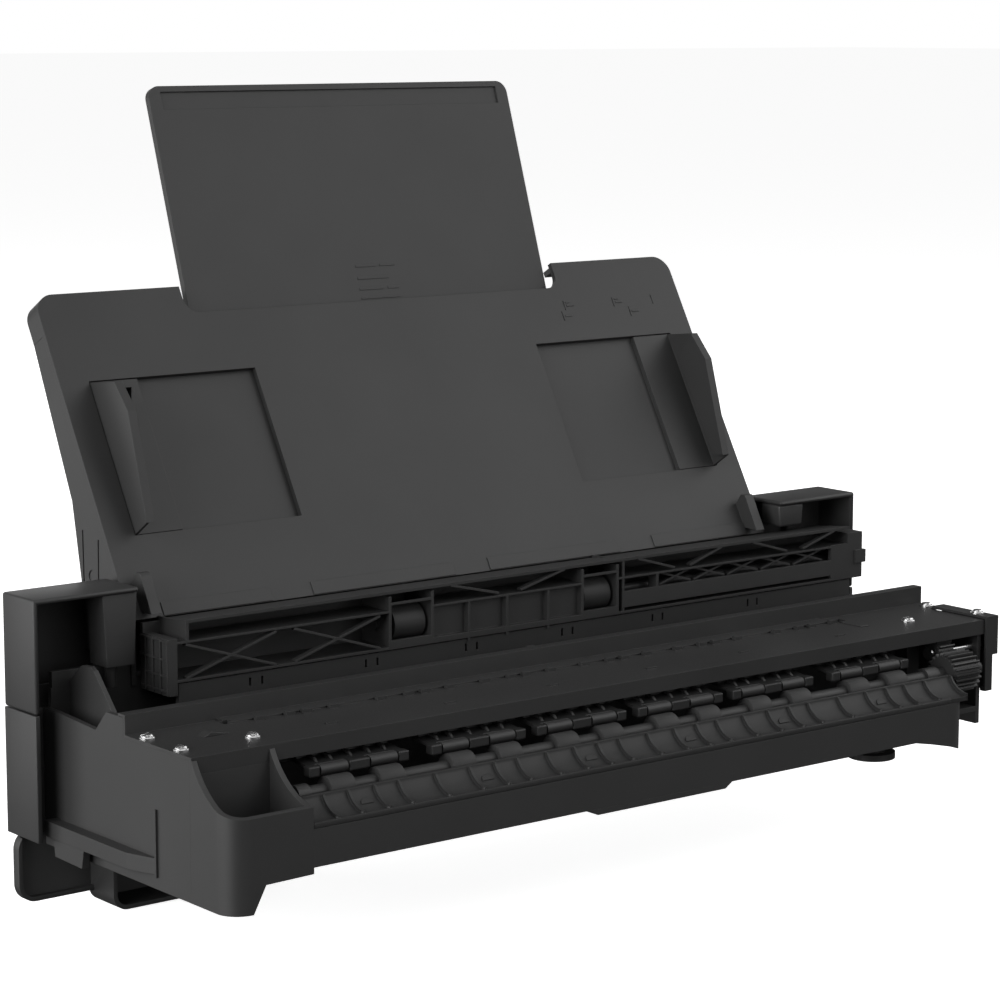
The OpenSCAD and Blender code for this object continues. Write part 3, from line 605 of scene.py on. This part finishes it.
@dataclass
class ExitGuide:
    """Curved sheet exit with thin ribs, a bump at each rib's end and half-moon stamps."""

    centre: tuple = (-113.0, 89.85)
    radius: float = 13.35
    thick: float = 2.0
    ends: tuple = (-186.0, 186.4)
    rib_w: float = 0.95
    rib_span: tuple = (-1.4, 1.0)
    rib_steps: tuple = (-13, 0, 12)
    bump_r: float = 1.05
    bump_at: tuple = (-111.7, 77.0)
    bump_faces: tuple = (14, 8)
    # places across the feeder past which a rib has no bump or no leg
    last_bump: float = 175.0
    last_leg: float = 180.0
    steps: int = 16
    start: float = 0.03
    moon_at: float = math.radians(38)
    moon_thick: float = 0.45
    moon_below: float = 0.45
    moon_shift: float = 6.4

    def on_arc(self, radius: float, angle: float) -> tuple[float, float]:
        """Return depth and height at an angle from straight down."""
        y, z = self.centre
        return y + radius * math.sin(angle), z - radius * math.cos(angle)

    def band(self, x: float, inner: float, outer: float, top: float) -> list:
        """Return the outline of a strip of the arc.

        Args:
            x: place across the feeder.
            inner: radius of the strip's inner edge.
            outer: radius of its outer edge.
            top: height at which its upper end is cut.

        Returns:
            The corners in order.
        """
        points = []
        for radius, order in ((inner, 1), (outer, -1)):
            last = math.acos((self.centre[1] - top) / radius)
            turns = [self.start + (last - self.start) * n / self.steps
                     for n in range(self.steps + 1)]
            arc = [(x, *self.on_arc(radius, turn)) for turn in turns]
            points += arc[::order]
        return points

    def rib_places(self) -> list[float]:
        """Space the ribs in and between the roller groups.

        Returns:
            The ribs' middles across the feeder.
        """
        in_groups = [group + step for group in GROUPS for step in self.rib_steps]
        between = [(left + right) / 2 for left, right in zip(GROUPS, GROUPS[1:])]
        return [-173.8, *in_groups, *between, 168.4, 185.8]

    def half_moon(self, x: float, radius: float = 3.0) -> bpy.types.Object:
        """Return a thin half disc lying on the arc.

        Args:
            x: place of its middle across the feeder.
            radius: its radius.

        Returns:
            The new object, in object mode.
        """
        angle, thick, below = self.moon_at, self.moon_thick, self.moon_below
        y, z = self.on_arc(self.radius, angle)
        up, out = (math.cos(angle), math.sin(angle)), (-math.sin(angle), math.cos(angle))
        turns = [math.pi * n / 12 for n in range(13)]
        rim = [(x + radius * math.cos(t), y + radius * (math.sin(t) - below) * up[0],
                z + radius * (math.sin(t) - below) * up[1]) for t in turns]
        return plate(rim, (0.0, out[0] * thick, out[1] * thick), 0.0)

    def build(self) -> None:
        """Model the curved plate, its rims, ribs, bumps, legs and stamps."""
        x0, x1 = self.ends
        r = self.radius
        parts = [plate(self.band(x0, r, r + self.thick, 84.0), (x1 - x0, 0, 0), 0.0),
                 block((x0, -101.2, 79.0), (x1, -99.4, 84.8), 0.35),
                 block((x0, -113.0, 74.5), (175.0, -111.4, 77.0), 0.35)]
        inner, outer = (r + step for step in self.rib_span)
        around, rings = self.bump_faces
        for x in self.rib_places():
            side = x - self.rib_w / 2
            parts.append(plate(self.band(side, inner, outer, 84.4), (self.rib_w, 0, 0), 0.0))
            if x < self.last_bump:
                bpy.ops.mesh.primitive_uv_sphere_add(segments=around, ring_count=rings,
                                                     radius=self.bump_r,
                                                     location=(x, *self.bump_at))
                parts.append(bpy.context.object)
            if x < self.last_leg:
                parts.append(block((x - 0.6, -103.0, 61.5), (x + 0.6, -99.4, 79.5), 0.0))
        parts += [self.half_moon(group - self.moon_shift) for group in GROUPS]
        guide = settle(joined(parts), "exit_guide_ribbed", LEVEL)
        smooth(guide, degrees=25.0)
        # the exit guide wears black plastic with painted shade, darker than the other mouldings
        finish_piece(guide, EXIT_BLACK_PAINTED_SHADE, Body.CHASSIS.value, ("exit_guide",))


@dataclass
class FrameLattice:
    """Thin crossing ribs on the left end of the pick-up frame."""

    face_x: float = -179.7
    proud: float = 0.9
    half: float = 0.45
    uprights: tuple = (2.6, 8.0, 14.0, 20.0)
    levels: tuple = (108.5, 115.0, 122.0, 130.0)

    def build(self) -> None:
        """Model the upright and level ribs."""
        x0, x1, h = self.face_x - self.proud, self.face_x + 0.3, self.half
        ribs = [block((x0, y - h, 107.0), (x1, y + h, 130.6), 0.15) for y in self.uprights]
        ribs += [block((x0 + 0.2, 2.4, z - h), (x1, 24.2, z + h), 0.15) for z in self.levels]
        finish_piece(settle(joined(ribs), "frame_end_lattice", LEVEL), MOULDED,
                     Body.CHASSIS.value)


@dataclass
class PlateStamp:
    """Three-sided stamp in the left of the metal plate and a folded tab at its right."""

    stamp_x: tuple = (-203.0, -189.0)
    stamp_y: float = -60.0
    stamp_w: float = 5.0
    # the stamp's peak: place across the feeder, and height over its foot
    peak: tuple = (-199.0, 2.0)
    tab_low: tuple = (165.5, -62.5)
    tab_high: tuple = (171.0, -48.0)
    tab_h: float = 0.6
    sunk: float = 0.1

    def build(self) -> None:
        """Model the stamp and the tab."""
        top = PLATE_TOP - self.sunk
        (x0, x1), (peak_x, peak_h), y = self.stamp_x, self.peak, self.stamp_y
        stamp = plate(((x0, y, top), (x1, y, top), (peak_x, y, top + peak_h)),
                      (0, self.stamp_w, 0), 0.2)
        tab = block((*self.tab_low, top), (*self.tab_high, top + self.tab_h), 0.2)
        finish_piece(settle(joined([stamp, tab]), "plate_stamps", LEVEL), COATED_SHEET,
                     Body.CHASSIS.value)


@dataclass
class SoftenedHousings:
    """Copies of the moulded housings with rounded edges."""

    widths: tuple = (("cover_left_upper", 1.2), ("cover_left_lower", 0.7),
                     ("cover_right_upper", 1.2), ("cover_right_lower", 0.7),
                     ("locating_post_left", 1.3), ("locating_post_right", 1.3),
                     ("rear_trough", 0.7))
    merge_within: float = 0.000002
    flat_within: float = math.radians(0.5)
    sharp_from: float = math.radians(35)
    faces: int = 3

    def build(self) -> None:
        """Copy, merge and bevel each housing, and let the copy stand for its node."""
        for name, width in self.widths:
            node = frame["nodes"][name]
            copy = own_copy(node)
            copy.parent = None
            for key in list(copy.keys()):
                del copy[key]
            copy.data.transform(node.matrix_world)
            copy.matrix_world = Matrix.Identity(4)
            copy.name = copy.data.name = f"{name}_soft"
            only(copy)
            bpy.ops.object.mode_set(mode="EDIT")
            bpy.ops.mesh.select_all(action="SELECT")
            bpy.ops.mesh.remove_doubles(threshold=self.merge_within)
            bpy.ops.mesh.dissolve_limited(angle_limit=self.flat_within)
            bpy.ops.mesh.normals_make_consistent(inside=False)
            bpy.ops.object.mode_set(mode="OBJECT")
            round_off = copy.modifiers.new("round", "BEVEL")
            round_off.width, round_off.segments = width * MM, self.faces
            round_off.limit_method, round_off.angle_limit = "ANGLE", self.sharp_from
            bpy.ops.object.modifier_apply(modifier=round_off.name)
            smooth(copy, degrees=30.0)
            finish_piece(copy, MOULDED, Body.CHASSIS.value, (name,))


@dataclass
class ReliefMarks:
    """Small raised bars beside the size ticks and on the extension, with no lettering."""

    height: float = 0.25
    # where each row of bars starts, across and up the tray
    tray_rows: tuple = ((108.0, 153.0), (139.5, 153.0), (105.0, 147.5), (148.3, 147.5))
    # left, right, lower and upper edge of each bar on the extension
    extension_rows: tuple = ((-8.0, 15.0, -9.0, -8.2), (-8.0, 6.0, -4.6, -3.4),
                             (8.5, 15.0, -4.6, -3.4), (-8.0, 10.0, 0.6, 1.8),
                             (-8.0, 4.0, 6.6, 7.8), (6.0, 15.0, 6.6, 7.8))

    def bars(self, rows: Sequence[Point], where: Matrix, name: str, body: str) -> None:
        """Raise bars on a panel.

        Args:
            rows: left, right, lower and upper edge of each bar on the panel.
            where: the panel's matrix.
            name: the piece's name.
            body: the body it rides on.
        """
        raised = [block((x0, -self.height, s0), (x1, 0.2, s1), 0.08) for x0, x1, s0, s1 in rows]
        finish_piece(settle(joined(raised), name, where), TRAY_SKIN, body)

    def build(self) -> None:
        """Raise the bars on the tray and on the extension."""
        tray = [(x + 1.4, x + 6.0, up, up + 1.0) for x, up in self.tray_rows]
        tray += [(x + 1.4, x + 3.6, up + 1.8, up + 2.6) for x, up in self.tray_rows[:2]]
        self.bars(tray, ON_TRAY, "size_bars", Body.CHASSIS.value)
        self.bars(self.extension_rows, ON_EXTENSION, "extension_bars", Body.EXTENSION.value)


# ---------------------------------------------------------------- studio
@dataclass
class Studio:
    """Pale floor, white surroundings, soft lights and the camera."""

    eye: Point = (-853.0, -1073.0, 389.0)
    yaw: float = -0.667
    down: float = 0.151
    lens: float = 110.0
    shift: Point = (0.008, -0.015)
    sensor: float = 36.0
    reach: float = 100.0
    floor_size: float = 60.0
    floor_drop: float = 0.0004
    floor_shade: float = 0.93
    floor_glow: float = 0.86
    sky_glow: float = 0.1
    middle: Point = (0.0, 0.0, 0.12)
    lamp_size: float = 1.6
    lamp_distance: float = 2.2
    key_watts: float = 45.0
    lamps: tuple = (("left", (-1.0, -0.1, 0.25), 1), ("back_left", (-0.8, 0.6, 0.12), 1 / 3),
                    ("right_sheen", (0.6, -0.6, 0.55), 1 / 4), ("right", (1.0, 0.0, 0.4), 1 / 4),
                    ("above", (0.05, 0.0, 1.0), 1 / 6), ("behind", (0.35, 0.9, 0.15), 1 / 6),
                    ("front_left", (-0.4, -0.6, 0.65), 1 / 8), ("front", (0.2, -0.9, 0.2), 1 / 8))

    def floor(self) -> None:
        """Lay a wide pale floor that glows, but sends no light to the object."""
        clear_selection()
        bpy.ops.mesh.primitive_plane_add(size=self.floor_size, location=(0, 0, -self.floor_drop))
        ground = bpy.context.object
        ground.name = "floor"
        pale = bpy.data.materials.new("pale_floor")
        pale.use_nodes = True
        shader = pale.node_tree.nodes["Principled BSDF"]
        shade = self.floor_shade
        shader.inputs["Base Color"].default_value = (shade, shade, shade, 1.0)
        shader.inputs["Roughness"].default_value = 0.9
        shader.inputs["Specular IOR Level"].default_value = 0.0
        shader.inputs["Emission Color"].default_value = (1.0, 1.0, 1.0, 1.0)
        shader.inputs["Emission Strength"].default_value = self.floor_glow
        ground.data.materials.append(pale)
        ground.visible_diffuse = ground.visible_glossy = False

    def softbox(self, name: str, towards: Point, watts: float) -> None:
        """Hang a square light.

        Args:
            name: the light's name.
            towards: direction from the object's middle to the light.
            watts: its power.
        """
        lamp = bpy.data.lights.new(name, "AREA")
        lamp.energy, lamp.size = watts, self.lamp_size
        holder = bpy.data.objects.new(name, lamp)
        bpy.context.scene.collection.objects.link(holder)
        way = Vector(towards).normalized()
        holder.location = Vector(self.middle) + way * self.lamp_distance
        holder.rotation_euler = way.to_track_quat("Z", "Y").to_euler()

    def world(self) -> None:
        """Surround the object with faint even light that the camera sees as plain white."""
        sky = bpy.data.worlds.new("studio")
        sky.use_nodes = True
        nodes, links = sky.node_tree.nodes, sky.node_tree.links
        backdrop = nodes["Background"]
        backdrop.inputs["Color"].default_value = (1.0, 1.0, 1.0, 1.0)
        rays, level = nodes.new("ShaderNodeLightPath"), nodes.new("ShaderNodeMapRange")
        level.inputs["To Min"].default_value = self.sky_glow
        level.inputs["To Max"].default_value = 1.0
        links.new(rays.outputs["Is Camera Ray"], level.inputs["Value"])
        links.new(level.outputs["Result"], backdrop.inputs["Strength"])
        bpy.context.scene.world = sky

    def camera(self) -> None:
        """Stand the camera at its viewing angle."""
        view = bpy.data.cameras.new("camera")
        view.lens, view.sensor_width = self.lens, self.sensor
        view.shift_x, view.shift_y = self.shift
        view.clip_end = self.reach
        eye = bpy.data.objects.new("camera", view)
        bpy.context.scene.collection.objects.link(eye)
        eye.location = place(self.eye)
        eye.rotation_euler = (math.pi / 2 - self.down, 0.0, self.yaw)
        bpy.context.scene.camera = eye

    def build(self) -> None:
        """Set up everything around the object."""
        self.floor()
        self.world()
        for name, towards, share in self.lamps:
            self.softbox(name, towards, self.key_watts * share)
        self.camera()
        bpy.context.scene.view_settings.view_transform = "Standard"


def dress_frame() -> None:
    """Give every CAD node the finish of its material slot."""
    slots = {part["node"]: part["material_slot"] for part in frame["record"]["subparts"]}
    for name, node in frame["nodes"].items():
        finish = TRAY_SKIN if name in TRAY_NODES else FINISH_OF_SLOT[slots[name]]
        finish.dress(node)


def main() -> None:
    """Build the studio, dress the frame and add the detailed pieces."""
    logging.basicConfig(level=logging.INFO, format="%(message)s")
    Studio().build()
    dress_frame()
    for assembly in (PlateScrews(), PinchSprings(), FeedRollers(), PinchHolders(), ExitGuide(),
                     FrameLattice(), PlateStamp(), SoftenedHousings(), ReliefMarks()):
        assembly.build()
    clear_selection()


if __name__ == "__main__":
    main()
